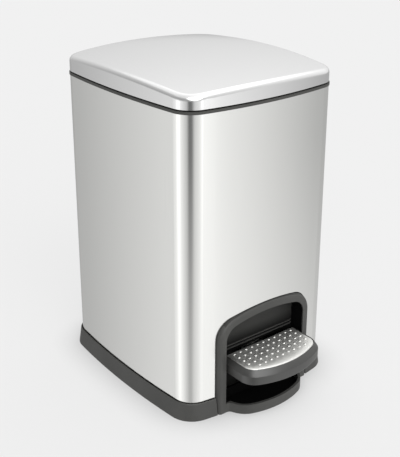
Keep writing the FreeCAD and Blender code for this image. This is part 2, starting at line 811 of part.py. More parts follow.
def lid_form(label, inset):
    # A block with the plan of the bin under a round dome, its top edge softened.
    body = new_body(label)
    dome = s.dome_radius - inset
    apex = s.shell_top + s.lid_rise - inset
    block = outline_pad(body, "block", lid_foot, apex - lid_foot, -inset)
    above = new_sketch(body, "above", "XZ_Plane", -s.dome_setback)
    reach = half_depth + s.dome_setback + s.overrun
    centre_up = float(apex) - float(dome)
    edge_up = centre_up + math.sqrt(float(dome) ** 2 - float(reach) ** 2)
    ceiling = apex + s.overrun
    edges = [
        add_line(above, (0, apex), (0, ceiling)),
        add_line(above, (0, ceiling), (reach, ceiling)),
        add_line(above, (reach, ceiling), (reach, edge_up)),
        add_arc(above, (0, centre_up), (reach, edge_up), (0, apex)),
    ]
    for i in range(4):
        join_ends(above, edges[i], edges[(i + 1) % 4], "Coincident")
    pin_point(above, edges[0], 1, nothing, apex)
    pin_point(above, edges[1], 1, nothing, ceiling)
    pin_point(above, edges[2], 1, reach, ceiling)
    above.addConstraint(Sketcher.Constraint("Vertical", edges[2]))
    above.addConstraint(Sketcher.Constraint("PointOnObject", edges[3], 3, -2))
    dimension(above, "Radius", (edges[3],), dome)
    groove = body.newObject("PartDesign::Groove", label + "_dome")
    groove.Profile = above
    groove.ReferenceAxis = (above, ["V_Axis"])
    doc.recompute()
    if groove.Shape.Volume >= block.Shape.Volume:
        raise RuntimeError(label + " has no dome")
    fillet(body, groove, s.lid_edge_fillet - inset, lambda edge: edge.BoundBox.ZMin > float(lid_foot) + hair)
    return body


def lid_skin():
    walled = doc.addObject("Part::Cut", "lid_walls")
    walled.Base = lid_form("lid_outside", nothing)
    walled.Tool = lid_form("lid_inside", s.lid_wall)
    notch = doc.addObject("Part::Box", "lid_notch")
    half = s.hinge_width / 2 - s.lug_width + s.lid_notch_clearance
    for prop, size in (("Length", half * 2), ("Width", s.overrun),
                       ("Height", panel_low + s.lid_notch_clearance - lid_foot + s.overrun),
                       ("Placement.Base.x", -half), ("Placement.Base.y", half_depth - s.corner_radius),
                       ("Placement.Base.z", lid_foot - s.overrun)):
        notch.setExpression(prop, size.text)
    skin = doc.addObject("Part::Cut", "lid_skin")
    skin.Base = walled
    skin.Tool = notch
    doc.recompute()
    finish(skin, "lid_skin")


def arm_screw_centres():
    front = hinge_y - s.arm_reach + s.arm_screw_margin
    return [(s.arm_screw_spacing_x / 2 * way, front + s.arm_screw_spacing_y * step)
            for way in (-1, 1) for step in (0, 1)]


def lid_liner():
    # A shallow plastic pan: an outer flange, a riser and a raised panel with screw bosses.
    body = new_body("lid_liner")
    outside = s.lid_wall + s.liner_fit
    low = lid_foot + s.liner_rise
    inside = s.liner_step + s.liner_wall
    outline_pad(body, "flange", low, s.liner_wall, -outside, -inside)
    outline_pad(body, "riser", low, panel_low + s.liner_wall - low, -s.liner_step, -inside)
    outline_pad(body, "panel", panel_low, s.liner_wall, -s.liner_step)
    notch = new_sketch(body, "notch", "XY_Plane", low)
    half = s.hinge_width / 2 - s.lug_width + s.lid_notch_clearance
    rectangle(notch, -half, half, half_depth - inside - s.liner_wall, half_depth + s.overrun)
    pocket(body, notch, panel_low - low, reverse=True)
    bosses = new_sketch(body, "bosses", "XY_Plane", panel_low)
    circles(bosses, arm_screw_centres(), s.boss_radius)
    pad(body, bosses, s.liner_wall + s.boss_height)
    holes = new_sketch(body, "screw_holes", "XY_Plane", panel_low)
    circles(holes, arm_screw_centres(), screw_hole)
    pocket(body, holes, s.screw_bite, reverse=True)
    finish(body, "lid_liner")


def lid_arm():
    # Knuckle on the hinge pin, a plate under the liner and two lugs for the crank pin.
    body = new_body("lid_arm")
    half = s.hinge_width / 2 - s.lug_width - s.lug_side_gap
    knuckle = new_sketch(body, "knuckle", "YZ_Plane")
    circles(knuckle, [(hinge_y, hinge_z)], s.knuckle_radius)
    pad(body, knuckle, half * 2, both_ways=True)
    plate = new_sketch(body, "plate", "XY_Plane", hinge_z)
    rectangle(plate, -half, half, hinge_y - s.arm_reach, hinge_y)
    pad(body, plate, s.arm_thickness)
    inner = s.head_width / 2 + s.crank_side_gap
    outer = inner + s.crank_lug_width
    for name, side in (("right", inner), ("left", -outer)):
        lug = new_sketch(body, name + "_lug", "YZ_Plane", side)
        rectangle(lug, crank_y - s.crank_lug_radius, crank_y + s.crank_lug_radius, crank_z, hinge_z)
        pad(body, lug, s.crank_lug_width)
        tip = new_sketch(body, name + "_tip", "YZ_Plane", side)
        circles(tip, [(crank_y, crank_z)], s.crank_lug_radius)
        pad(body, tip, s.crank_lug_width)
    bores = new_sketch(body, "hinge_bore", "YZ_Plane")
    circles(bores, [(hinge_y, hinge_z)], s.hinge_pin_radius + s.running_fit)
    pocket(body, bores, s.shell_width, both_ways=True)
    crank = new_sketch(body, "crank_bore", "YZ_Plane")
    circles(crank, [(crank_y, crank_z)], s.crank_pin_radius + s.set_fit)
    pocket(body, crank, s.shell_width, both_ways=True)
    holes = new_sketch(body, "screw_holes", "XY_Plane", panel_low)
    circles(holes, arm_screw_centres(), screw_hole)
    pocket(body, holes, s.arm_thickness)
    finish(body, "lid_arm")


def crank_pin():
    body = new_body("crank_pin")
    section = new_sketch(body, "section", "YZ_Plane")
    circles(section, [(crank_y, crank_z)], s.crank_pin_radius)
    pad(body, section, s.head_width + (s.crank_side_gap + s.crank_lug_width) * 2, both_ways=True)
    finish(body, "crank_pin")


def lid_buffers():
    # Rubber stops that meet the rim when the lid is shut.
    body = new_body("lid_buffers")
    along = s.buffer_spread / 2
    bow = s.side_bow_radius
    wall = half_width - bow + root(bow * bow - along * along)
    across = wall - s.lid_wall - s.liner_fit - s.buffer_radius
    pads = new_sketch(body, "pads", "XY_Plane", rim_top + s.buffer_gap)
    circles(pads, [(across * m, along * n) for m in (-1, 1) for n in (-1, 1)], s.buffer_radius)
    pad(body, pads, lid_foot + s.liner_rise - rim_top - s.buffer_gap)
    finish(body, "lid_buffers")


# Push rod

def push_rod():
    body = new_body("push_rod")
    low = lever_top + s.shoe_gap + s.rod_grip
    high = crank_z - s.head_height / 2 + s.rod_grip
    section = new_sketch(body, "section", "XY_Plane", low)
    circles(section, [(nothing, rod_y)], s.rod_radius)
    pad(body, section, high - low)
    finish(body, "push_rod")


def rod_head():
    body = new_body("rod_head")
    low = crank_z - s.head_height / 2
    block = new_sketch(body, "block", "XY_Plane", low)
    rectangle(block, -s.head_width / 2, s.head_width / 2, rod_y - s.head_depth / 2, rod_y + s.head_depth / 2)
    pad(body, block, s.head_height)
    slot = new_sketch(body, "slot", "YZ_Plane")
    rounded_rectangle(slot, rod_y - s.slot_length / 2, rod_y + s.slot_length / 2, crank_z - s.slot_height / 2,
                      crank_z + s.slot_height / 2, s.crank_pin_radius)
    pocket(body, slot, s.shell_width, both_ways=True)
    socket = new_sketch(body, "socket", "XY_Plane", low)
    circles(socket, [(nothing, rod_y)], s.rod_radius + s.set_fit)
    pocket(body, socket, s.rod_grip, reverse=True)
    finish(body, "rod_head")


def rod_shoe():
    # A nylon foot with a round underside that rides on the lever tail.
    body = new_body("rod_shoe")
    low = lever_top + s.shoe_gap
    profile = new_sketch(body, "profile", "XY_Plane", low)
    circles(profile, [(nothing, rod_y)], s.shoe_radius)
    block = pad(body, profile, s.shoe_height)
    fillet(body, block, s.shoe_radius - s.set_fit,
           lambda edge: edge.BoundBox.ZMax < float(low) + hair)
    socket = new_sketch(body, "socket", "XY_Plane", low + s.rod_grip)
    circles(socket, [(nothing, rod_y)], s.rod_radius + s.set_fit)
    pocket(body, socket, s.shoe_height, reverse=True)
    finish(body, "rod_shoe")


# Pedal

def pedal_outline(sketch, inset, base):
    d_outline(sketch, pedal_half - inset, -base, inset - s.pedal_reach, s.pedal_corner - inset,
              s.pedal_bow - inset)


def pedal_screw_centres():
    return [(nothing, s.pedal_screw_spacing / 2 * way - pedal_screw_middle) for way in (-1, 1)]


def pedal_plate():
    body = new_body("pedal_plate")
    low = s.pedal_low
    plan = new_sketch(body, "plan", "XY_Plane", low)
    pedal_outline(plan, nothing, pedal_back)
    block = pad(body, plan, s.pedal_high - low)
    high = float(s.pedal_high)
    fillet(body, block, s.pedal_edge_fillet,
           lambda edge: edge.BoundBox.ZMin > high - hair and edge.BoundBox.YMin < -float(pedal_back) - hair)
    seat = new_sketch(body, "pad_seat", "XY_Plane", s.pedal_high)
    pedal_outline(seat, s.pad_margin - s.pad_gap, pedal_back + s.pad_back_margin - s.pad_gap)
    pocket(body, seat, s.pad_recess)
    hollow = new_sketch(body, "hollow", "XY_Plane", low)
    pedal_outline(hollow, s.pedal_wall, pedal_back + s.pedal_wall)
    pocket(body, hollow, s.pedal_high - s.pad_recess - s.pedal_top_thickness - low, reverse=True)
    door = new_sketch(body, "lever_door", "XZ_Plane", pedal_back)
    door_half = s.lever_width / 2 + s.pad_gap
    rectangle(door, -door_half, door_half, low - s.overrun, tongue_top + s.pad_gap)
    pocket(body, door, s.pedal_wall, reverse=True)
    bosses = new_sketch(body, "bosses", "XY_Plane", tongue_top)
    circles(bosses, pedal_screw_centres(), s.pedal_boss_radius)
    pad(body, bosses, s.pedal_boss_height)
    holes = new_sketch(body, "screw_holes", "XY_Plane", tongue_top)
    circles(holes, pedal_screw_centres(), screw_hole)
    pocket(body, holes, s.screw_bite, reverse=True)
    finish(body, "pedal_plate")


def pedal_pad():
    body = new_body("pedal_pad")
    plan = new_sketch(body, "plan", "XY_Plane", s.pedal_high - s.pad_recess)
    pedal_outline(plan, s.pad_margin, pedal_back + s.pad_back_margin)
    plate = pad(body, plan, s.pad_thickness)
    top = float(s.pedal_high - s.pad_recess + s.pad_thickness)
    fillet(body, plate, s.pad_edge_fillet, lambda edge: edge.BoundBox.ZMin > top - hair)
    finish(body, "pedal_pad")


def lever_points(sheet_depth, end_gap):
    # Side view of the lever: tail, bend over the axle, slope and tongue.
    tail_end = rod_y + s.tail_overhang - end_gap
    bend = axle_y - s.bend_reach
    step = -surround_back
    tongue_end = pedal_screw_middle + s.pedal_screw_spacing / 2 + s.pedal_boss_radius
    front = [(-(tongue_end - end_gap), tongue_top - sheet_depth), (step, tongue_top - sheet_depth)]
    return front + [(bend, lever_top - sheet_depth), (tail_end, lever_top - sheet_depth)]


def pedal_lever():
    # A pressed channel, open downwards.
    body = new_body("pedal_lever")
    ear_low = s.axle_height - s.ear_drop
    tail_low = lever_top - s.tail_flange
    tongue_low = tongue_top - s.tongue_flange
    top_line = lever_points(nothing, nothing)
    low_line = [(top_line[3][0], tail_low), (axle_y + s.ear_length / 2, ear_low),
                (axle_y - s.ear_length / 2, ear_low), (top_line[1][0], tongue_low),
                (top_line[0][0], tongue_low)]
    side = new_sketch(body, "side", "YZ_Plane")
    polygon(side, top_line + low_line)
    pad(body, side, s.lever_width, both_ways=True)
    channel = new_sketch(body, "channel", "YZ_Plane")
    deep = s.axle_height - s.ear_drop - s.overrun
    inner_line = lever_points(s.lever_sheet, -s.overrun)
    polygon(channel, inner_line + [(inner_line[3][0], deep), (inner_line[0][0], deep)])
    pocket(body, channel, s.lever_width - s.lever_sheet * 2, both_ways=True)
    bores = new_sketch(body, "bush_bores", "YZ_Plane")
    circles(bores, [(axle_y, s.axle_height)], s.axle_radius + s.running_fit + s.bush_wall + s.set_fit)
    pocket(body, bores, s.shell_width, both_ways=True)
    holes = new_sketch(body, "screw_holes", "XY_Plane", tongue_top)
    circles(holes, pedal_screw_centres(), screw_hole)
    pocket(body, holes, s.lever_sheet)
    finish(body, "pedal_lever")


def lever_bushes():
    body = new_body("lever_bushes")
    centre = [(axle_y, s.axle_height)]
    face = s.lever_width / 2
    bore = s.axle_radius + s.running_fit
    stretches = (("flange", face, s.bush_flange_thickness, s.bush_wall + s.bush_flange),
                 ("sleeve", face - s.bush_length, s.bush_length, s.bush_wall))
    for name, start, length, wall in stretches:
        for side, offset in (("right", start), ("left", -(start + length))):
            ring = new_sketch(body, side + "_" + name, "YZ_Plane", offset)
            circles(ring, centre, bore + wall)
            circles(ring, centre, bore)
            pad(body, ring, length)
    finish(body, "lever_bushes")


# Bucket handle

def bail_path(body):
    # From one pivot along the bucket's wall, across the front and back to the other pivot.
    path = new_sketch(body, "path", "XY_Plane", bail_z)
    arm = bucket_half - s.bucket_wall - s.bail_inset
    end = bucket_half + s.bail_stub
    bar = s.bail_front_inset - bucket_front
    pivot = bucket_middle
    bend, curve = s.bail_stub_corner, s.bail_corner
    points = [(-end, pivot), (-arm, pivot), (-arm, bar), (arm, bar), (arm, pivot), (end, pivot)]
    radii = [bend, curve, curve, bend]
    edges = []
    start = points[0]
    for i, radius in enumerate(radii, start=1):
        before = flat(*points[i - 1]) - flat(*points[i])
        after = flat(*points[i + 1]) - flat(*points[i])
        corner = flat(*points[i])
        leave = corner + before.normalize() * float(radius)
        arrive = corner + after.normalize() * float(radius)
        centre = leave + arrive - corner
        edges.append(add_line(path, start, (leave.x, leave.y)))
        edges.append(add_arc(path, (centre.x, centre.y), (leave.x, leave.y), (arrive.x, arrive.y)))
        start = (arrive.x, arrive.y)
    edges.append(add_line(path, start, points[-1]))
    for i in range(len(edges) - 1):
        join_ends(path, edges[i], edges[i + 1], "Tangent")
    for i, radius in enumerate(radii):
        dimension(path, "Radius", (edges[2 * i + 1],), radius)
    for i, kind in enumerate(("Horizontal", "Vertical", "Horizontal", "Vertical", "Horizontal")):
        path.addConstraint(Sketcher.Constraint(kind, edges[2 * i]))
    pin_point(path, edges[0], 1, -end, pivot)
    pin_point(path, edges[-1], 2, end, pivot)
    dimension(path, "DistanceX", (-1, 1, edges[2], 1), -arm)
    dimension(path, "DistanceX", (-1, 1, edges[6], 1), arm)
    dimension(path, "DistanceY", (-1, 1, edges[4], 1), bar)
    return path


def bucket_handle():
    body = new_body("bucket_handle")
    path = bail_path(body)
    wire = new_sketch(body, "wire", "YZ_Plane", -(bucket_half + s.bail_stub))
    circles(wire, [(bucket_middle, bail_z)], s.bail_radius)
    pipe = body.newObject("PartDesign::AdditivePipe", "bucket_handle_pipe")
    pipe.Profile = wire
    pipe.Spine = path
    doc.recompute()
    finish(body, "bucket_handle")


def handle_grip():
    body = new_body("handle_grip")
    sleeve = new_sketch(body, "sleeve", "YZ_Plane")
    centre = [(s.bail_front_inset - bucket_front, bail_z)]
    circles(sleeve, centre, s.grip_radius)
    circles(sleeve, centre, s.bail_radius + s.set_fit)
    pad(body, sleeve, s.grip_length, both_ways=True)
    finish(body, "handle_grip")


outer_shell()
base_tray()
top_rim()
pedal_surround()
inner_bucket()
hinge_block()
hinge_pin()
rod_guide()
pedal_axle()
axle_clips()
lid_skin()
lid_liner()
lid_arm()
crank_pin()
lid_buffers()
push_rod()
rod_head()
rod_shoe()
pedal_plate()
pedal_pad()
pedal_lever()
lever_bushes()
bucket_handle()
handle_grip()

# Fasteners, each group with its heads against the face that it clamps
screws("lid_screws", "XY_Plane", hinge_z - s.screw_head_height, arm_screw_centres(),
       s.arm_thickness + s.screw_bite)
screws("pedal_screws", "XY_Plane", tongue_top - s.lever_sheet - s.screw_head_height, pedal_screw_centres(),
       s.lever_sheet + s.screw_bite)
screws("guide_screws", "XY_Plane", floor_top + s.guide_foot_thickness + s.screw_head_height,
       guide_screw_centres(), s.guide_foot_thickness + s.floor_thickness, reverse=True)
screws("surround_screws", "XY_Plane", floor_top + s.tab_thickness + s.screw_head_height,
       tab_screw_centres(), s.tab_thickness + s.floor_thickness, reverse=True)
hinge_screw_seat = rear_inside(s.hinge_screw_spacing / 2 + s.screw_head_radius)
screws("hinge_screws", "XZ_Plane", s.screw_head_height - hinge_screw_seat, hinge_screw_centres(),
       half_depth - hinge_screw_seat + s.screw_bite, reverse=True)

doc.recompute()

# Every object has to be sound before anything is written
for thing in doc.Objects:
    if "Invalid" in thing.State or "Error" in thing.State:
        raise RuntimeError(thing.Label + " failed: " + ", ".join(thing.State))
for piece in sub_parts:
    if piece.Shape.isNull() or not piece.Shape.isValid():
        raise RuntimeError(piece.Label + " has no sound shape")

os.makedirs("parts", exist_ok=True)
for piece in sub_parts:
    piece.Shape.exportStep("parts/" + piece.Label + ".step")
    print("%-16s solids %2d  volume %10.1f" % (piece.Label, len(piece.Shape.Solids), piece.Shape.Volume))
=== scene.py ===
import math

import bmesh
import bpy
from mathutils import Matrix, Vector


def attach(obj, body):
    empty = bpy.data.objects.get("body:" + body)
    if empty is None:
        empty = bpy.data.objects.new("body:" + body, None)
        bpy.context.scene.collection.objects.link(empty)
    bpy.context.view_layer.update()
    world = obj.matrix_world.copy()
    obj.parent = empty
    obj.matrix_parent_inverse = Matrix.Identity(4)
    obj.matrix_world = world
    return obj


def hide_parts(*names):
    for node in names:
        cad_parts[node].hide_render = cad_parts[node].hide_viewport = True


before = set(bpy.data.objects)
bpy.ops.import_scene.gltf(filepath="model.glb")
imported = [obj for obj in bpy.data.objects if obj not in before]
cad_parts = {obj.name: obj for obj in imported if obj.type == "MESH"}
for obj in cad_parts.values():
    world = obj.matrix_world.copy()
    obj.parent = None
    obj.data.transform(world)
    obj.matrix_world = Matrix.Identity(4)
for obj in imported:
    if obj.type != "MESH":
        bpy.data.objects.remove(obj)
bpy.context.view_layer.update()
print("frame in:", len(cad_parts), "nodes")

mm = 0.001
midY = 17.225  # middle of the bin along y, in mm
mergeGap = 0.0005  # points closer than this become one, in mm


# wiring, on a material or on the world

def shaderOf(mat):
    mat.use_nodes = True
    return mat.node_tree.nodes["Principled BSDF"]


def addNode(owner, kind, **settings):
    node = owner.node_tree.nodes.new(kind)
    for key, value in settings.items():
        setattr(node, key, value)
    return node


def join(owner, source, target):
    owner.node_tree.links.new(source, target)


def maths(owner, operation, *values):
    step = addNode(owner, "ShaderNodeMath", operation=operation)
    for socket, value in zip(step.inputs, values):
        if isinstance(value, float):
            socket.default_value = value
        else:
            join(owner, value, socket)
    return step.outputs[0]


def between(owner, value, low, high, start=0.3, end=0.7, curve="LINEAR"):
    # from low to high while the value goes from start to end, which suit a noise unless others are given
    span = addNode(owner, "ShaderNodeMapRange", interpolation_type=curve)
    span.inputs["From Min"].default_value = start
    span.inputs["From Max"].default_value = end
    span.inputs["To Min"].default_value = low
    span.inputs["To Max"].default_value = high
    join(owner, value, span.inputs["Value"])
    return span.outputs["Result"]


def mixed(owner, share, first, second):
    # a colour between two, each given as a colour or as a socket
    blend = addNode(owner, "ShaderNodeMix", data_type="RGBA")
    join(owner, share, blend.inputs["Factor"])
    for socket, colour in zip(blend.inputs[6:8], (first, second)):  # its two colour sockets
        if isinstance(colour, tuple):
            socket.default_value = (*colour, 1)
        else:
            join(owner, colour, socket)
    return blend.outputs[2]  # its colour


def shadedBy(owner, value, stops, start, end):
    # a grey that follows stops of place and tone, spread over the value's span from start to end
    low, high = stops[0][0], stops[-1][0]
    band = addNode(owner, "ShaderNodeValToRGB")
    ramp = band.color_ramp
    while len(ramp.elements) < len(stops):
        ramp.elements.new(0.5)
    for element, (place, tone) in zip(ramp.elements, stops):
        element.position = (place - low) / (high - low)
        element.color = (tone, tone, tone, 1)
    join(owner, between(owner, value, 0, 1, start, end), band.inputs["Fac"])
    return band.outputs["Color"]


def placed(bm, name):
    mesh = bpy.data.meshes.new(name)
    bm.to_mesh(mesh)
    bm.free()
    piece = bpy.data.objects.new(name, mesh)
    bpy.context.scene.collection.objects.link(piece)
    return piece


# studio: floor, light and camera

studio = {
    "floorSize": 60.0,
    "floorGlow": 0.655,  # part of the floor's brightness that takes no shadow, apart from the contact shade
    "floorTone": 0.165,
    "floorRough": 0.9,
    "contactReach": 0.04,  # how far from the bin, in m, the floor is shaded by contact
    "contactShade": 0.6,
    # degrees from the front toward the left, and how bright the walls are there: a strip lamp on each side,
    # a dark flag beside the camera between them, and walls that fall off toward the back
    "upperWalls": [(-180, 0.45), (-66, 0.50), (-24, 1.00), (-16, 1.42), (-10, 1.34), (-4, 0.98), (22, 0.72),
                   (35, 0.17), (48, 0.15), (58, 0.60), (88, 1.03), (95, 1.42), (105, 1.42), (115, 1.02),
                   (162, 0.50), (180, 0.45)],
    "lowerWalls": [(-180, 0.50), (-75, 0.68), (-28, 1.02), (-12, 1.18), (0, 1.00), (28, 0.76), (40, 0.53),
                   (50, 0.53), (72, 0.86), (101, 1.28), (118, 1.00), (160, 0.52), (180, 0.50)],
    "wallSpan": (-0.53, -0.30),  # sines of the heights where one ring of walls gives way to the other
    # sine of the height above the horizon, and how bright the ceiling is there
    "ceiling": [(0.0, 0.60), (0.12, 0.64), (0.34, 0.73), (0.54, 0.83), (0.68, 1.18), (1.0, 1.12)],
    "ceilingTilt": 0.42,  # how much brighter it is toward the right
    "ceilingSpan": (-0.10, 0.06),  # sines of the heights where the walls give way to the ceiling
    # a lamp with a wide soft edge above the camera, and the cosines where its edge starts and ends
    "lampToward": (-0.28, -0.785, 0.553),
    "lampSpan": (0.82, 0.94),
    "lampPower": 2.8,
}


def buildFloor():
    bm = bmesh.new()
    bmesh.ops.create_grid(bm, x_segments=2, y_segments=2, size=studio["floorSize"] / 2)
    floor = placed(bm, "floor")
    mat = bpy.data.materials.new("paleFloor")
    shader = shaderOf(mat)
    tone, glow = studio["floorTone"], studio["floorGlow"]
    shader.inputs["Base Color"].default_value = (tone, tone, tone, 1)
    shader.inputs["Roughness"].default_value = studio["floorRough"]
    shader.inputs["Specular IOR Level"].default_value = 0
    shader.inputs["Emission Color"].default_value = (1, 1, 1, 1)
    near = addNode(mat, "ShaderNodeAmbientOcclusion")
    near.inputs["Distance"].default_value = studio["contactReach"]
    shaded = between(mat, near.outputs["AO"], glow * (1 - studio["contactShade"]), glow, 0, 1)
    join(mat, shaded, shader.inputs["Emission Strength"])
    floor.data.materials.append(mat)
    floor.visible_glossy = False


def buildLight():
    # soft walls and a soft ceiling all round, seen by the steel and lighting the rest
    world = bpy.data.worlds.new("studio")
    bpy.context.scene.world = world
    world.use_nodes = True
    toward = addNode(world, "ShaderNodeTexCoord").outputs["Generated"]
    parts = addNode(world, "ShaderNodeSeparateXYZ")
    join(world, toward, parts.inputs[0])
    right, backward, up = parts.outputs
    left, forward = [maths(world, "MULTIPLY", part, -1.0) for part in (right, backward)]
    around = maths(world, "ARCTAN2", left, forward)
    lower, upper = [shadedBy(world, around, studio[ring], -math.pi, math.pi)
                    for ring in ("lowerWalls", "upperWalls")]

    ceiling = addNode(world, "ShaderNodeVectorMath", operation="SCALE")
    join(world, shadedBy(world, up, studio["ceiling"], 0, 1), ceiling.inputs[0])
    join(world, maths(world, "MULTIPLY_ADD", right, studio["ceilingTilt"], 1.0), ceiling.inputs["Scale"])
    walls = mixed(world, between(world, up, 0, 1, *studio["wallSpan"]), lower, upper)
    room = mixed(world, between(world, up, 0, 1, *studio["ceilingSpan"]), walls, ceiling.outputs[0])

    aside = addNode(world, "ShaderNodeVectorMath", operation="DOT_PRODUCT")
    join(world, toward, aside.inputs[0])
    aside.inputs[1].default_value = studio["lampToward"]
    lamp = between(world, aside.outputs["Value"], 0, studio["lampPower"], *studio["lampSpan"], "SMOOTHSTEP")
    lit = addNode(world, "ShaderNodeVectorMath", operation="ADD")
    join(world, room, lit.inputs[0])
    join(world, lamp, lit.inputs[1])
    join(world, lit.outputs[0], world.node_tree.nodes["Background"].inputs["Color"])


photoView = {
    "place": (-0.6023, -0.75228, 0.59467),
    "aim": (0.0, 0.017225, 0.2298),
    "lens": 69.964,
    "sensor": 36,
    "shift": (0.0077, -0.10974),
    "farthest": 200,
}


def buildCamera():
    lens = bpy.data.cameras.new("photoView")
    lens.sensor_width = photoView["sensor"]
    lens.lens = photoView["lens"]
    lens.shift_x, lens.shift_y = photoView["shift"]
    lens.clip_end = photoView["farthest"]
    camera = bpy.data.objects.new("photoView", lens)
    camera.location = photoView["place"]
    camera.rotation_euler = (Vector(photoView["aim"]) - camera.location).to_track_quat("-Z", "Y").to_euler()
    bpy.context.scene.collection.objects.link(camera)
    bpy.context.scene.camera = camera
    bpy.context.scene.view_settings.view_transform = "Standard"


buildFloor()
buildLight()
buildCamera()
print("studio set")


# finishes

def noiseOn(mat, scale, stretch=(1, 1, 1), detail=3.0, rough=0.55):
    place = addNode(mat, "ShaderNodeTexCoord")
    spread = addNode(mat, "ShaderNodeMapping")
    spread.inputs["Scale"].default_value = stretch
    join(mat, place.outputs["Object"], spread.inputs["Vector"])
    grain = addNode(mat, "ShaderNodeTexNoise")
    grain.inputs["Scale"].default_value = scale
    grain.inputs["Detail"].default_value = detail
    grain.inputs["Roughness"].default_value = rough
    join(mat, spread.outputs["Vector"], grain.inputs["Vector"])
    return grain.outputs["Fac"]


def toned(mat, value, low, high):
    join(mat, mixed(mat, between(mat, value, 0, 1), low, high), shaderOf(mat).inputs["Base Color"])


def roughened(mat, value, low, high):
    join(mat, between(mat, value, low, high), shaderOf(mat).inputs["Roughness"])


def bumped(mat, value, strength, distance):
    bump = addNode(mat, "ShaderNodeBump")
    bump.inputs["Strength"].default_value = strength
    bump.inputs["Distance"].default_value = distance
    join(mat, value, bump.inputs["Height"])
    join(mat, bump.outputs["Normal"], shaderOf(mat).inputs["Normal"])


brushed = {
    "streaks": 2600,
    "streakDetail": 2.0,
    "smears": 14,
    "smearStretch": (1, 1, 0.5),
    "rough": (0.13, 0.16),
    "relief": 0.015,
    "depth": 0.00005,
}


def brushedSteel(name, stretch, low, high):
    mat = bpy.data.materials.new(name)
    shaderOf(mat).inputs["Metallic"].default_value = 1
    streaks = noiseOn(mat, brushed["streaks"], stretch, brushed["streakDetail"])
    toned(mat, streaks, low, high)
    roughened(mat, noiseOn(mat, brushed["smears"], brushed["smearStretch"]), *brushed["rough"])
    bumped(mat, streaks, brushed["relief"], brushed["depth"])
    return mat


plated = {"clouds": 260, "smoother": 0.03, "rougher": 0.04, "relief": 0.008, "depth": 0.00005}


def plating(name, low, high, rough):
    mat = bpy.data.materials.new(name)
    shaderOf(mat).inputs["Metallic"].default_value = 1
    clouds = noiseOn(mat, plated["clouds"])
    toned(mat, clouds, low, high)
    roughened(mat, clouds, rough - plated["smoother"], rough + plated["rougher"])
    bumped(mat, clouds, plated["relief"], plated["depth"])
    return mat


moulded = {"patches": 22, "grainDetail": 2.0, "smoother": 0.04, "rougher": 0.06, "depth": 0.0002}


def mouldedPlastic(name, low, high, rough, grainSize, relief, gloss=0.5):
    mat = bpy.data.materials.new(name)
    shaderOf(mat).inputs["Specular IOR Level"].default_value = gloss
    grain = noiseOn(mat, grainSize, detail=moulded["grainDetail"])
    toned(mat, noiseOn(mat, moulded["patches"]), low, high)
    roughened(mat, grain, rough - moulded["smoother"], rough + moulded["rougher"])
    bumped(mat, grain, relief, moulded["depth"])
    return mat


finishes = {
    "brushed_steel": brushedSteel("brushedSteel", stretch=(1, 1, 0.008),
                                  low=(0.800, 0.801, 0.783), high=(0.825, 0.826, 0.805)),
    "tread_steel": plating("treadSteel", (0.70, 0.70, 0.68), (0.76, 0.76, 0.738), rough=0.46),
    "dark_plastic": mouldedPlastic("darkPlastic", (0.047, 0.047, 0.0445), (0.056, 0.056, 0.053),
                                   rough=0.46, grainSize=1500, relief=0.10, gloss=0.30),
    "black_plastic": mouldedPlastic("blackPlastic", (0.016, 0.016, 0.017), (0.024, 0.024, 0.025),
                                    rough=0.42, grainSize=1300, relief=0.10, gloss=0.4),
    "plated_steel": plating("platedSteel", (0.60, 0.60, 0.59), (0.67, 0.67, 0.655), rough=0.28),
    "nylon": mouldedPlastic("nylon", (0.66, 0.65, 0.60), (0.74, 0.73, 0.69),
                            rough=0.48, grainSize=1100, relief=0.06),
    "rubber": mouldedPlastic("rubber", (0.020, 0.020, 0.020), (0.032, 0.032, 0.031),
                             rough=0.68, grainSize=900, relief=0.12),
}

# the lid is brushed from side to side
lidSteel = brushedSteel("lidSteel", stretch=(0.008, 1, 1),
                        low=(0.790, 0.790, 0.790), high=(0.815, 0.815, 0.812))

# the surround's recess, in m, and its painted shades
recess = {
    "front": -0.1085,
    "half": 0.0585,
    "treadLine": 0.062,
    "lipTop": 0.0112,
    "wallFacing": 0.6,  # how squarely a side wall faces the middle
    "panFacing": 0.5,  # how squarely the pan behind the lip faces up or back
    # the black painted in for shade inside the recess
    "black": (0.004, 0.004, 0.004),
    "gloss": (0.30, 0.03),  # outside, and where the shade is painted black
    # height, and how dark the back's painted shade is there: black between its ribs, light on them, and
    # fading above
    "backShade": [(0.062, 1.0), (0.0659, 1.0), (0.0661, 0.15), (0.0674, 0.15), (0.0676, 1.0), (0.0699, 1.0),
                  (0.0701, 0.15), (0.0714, 0.15), (0.0716, 0.92), (0.085, 0.52), (0.112, 0.38)],
}


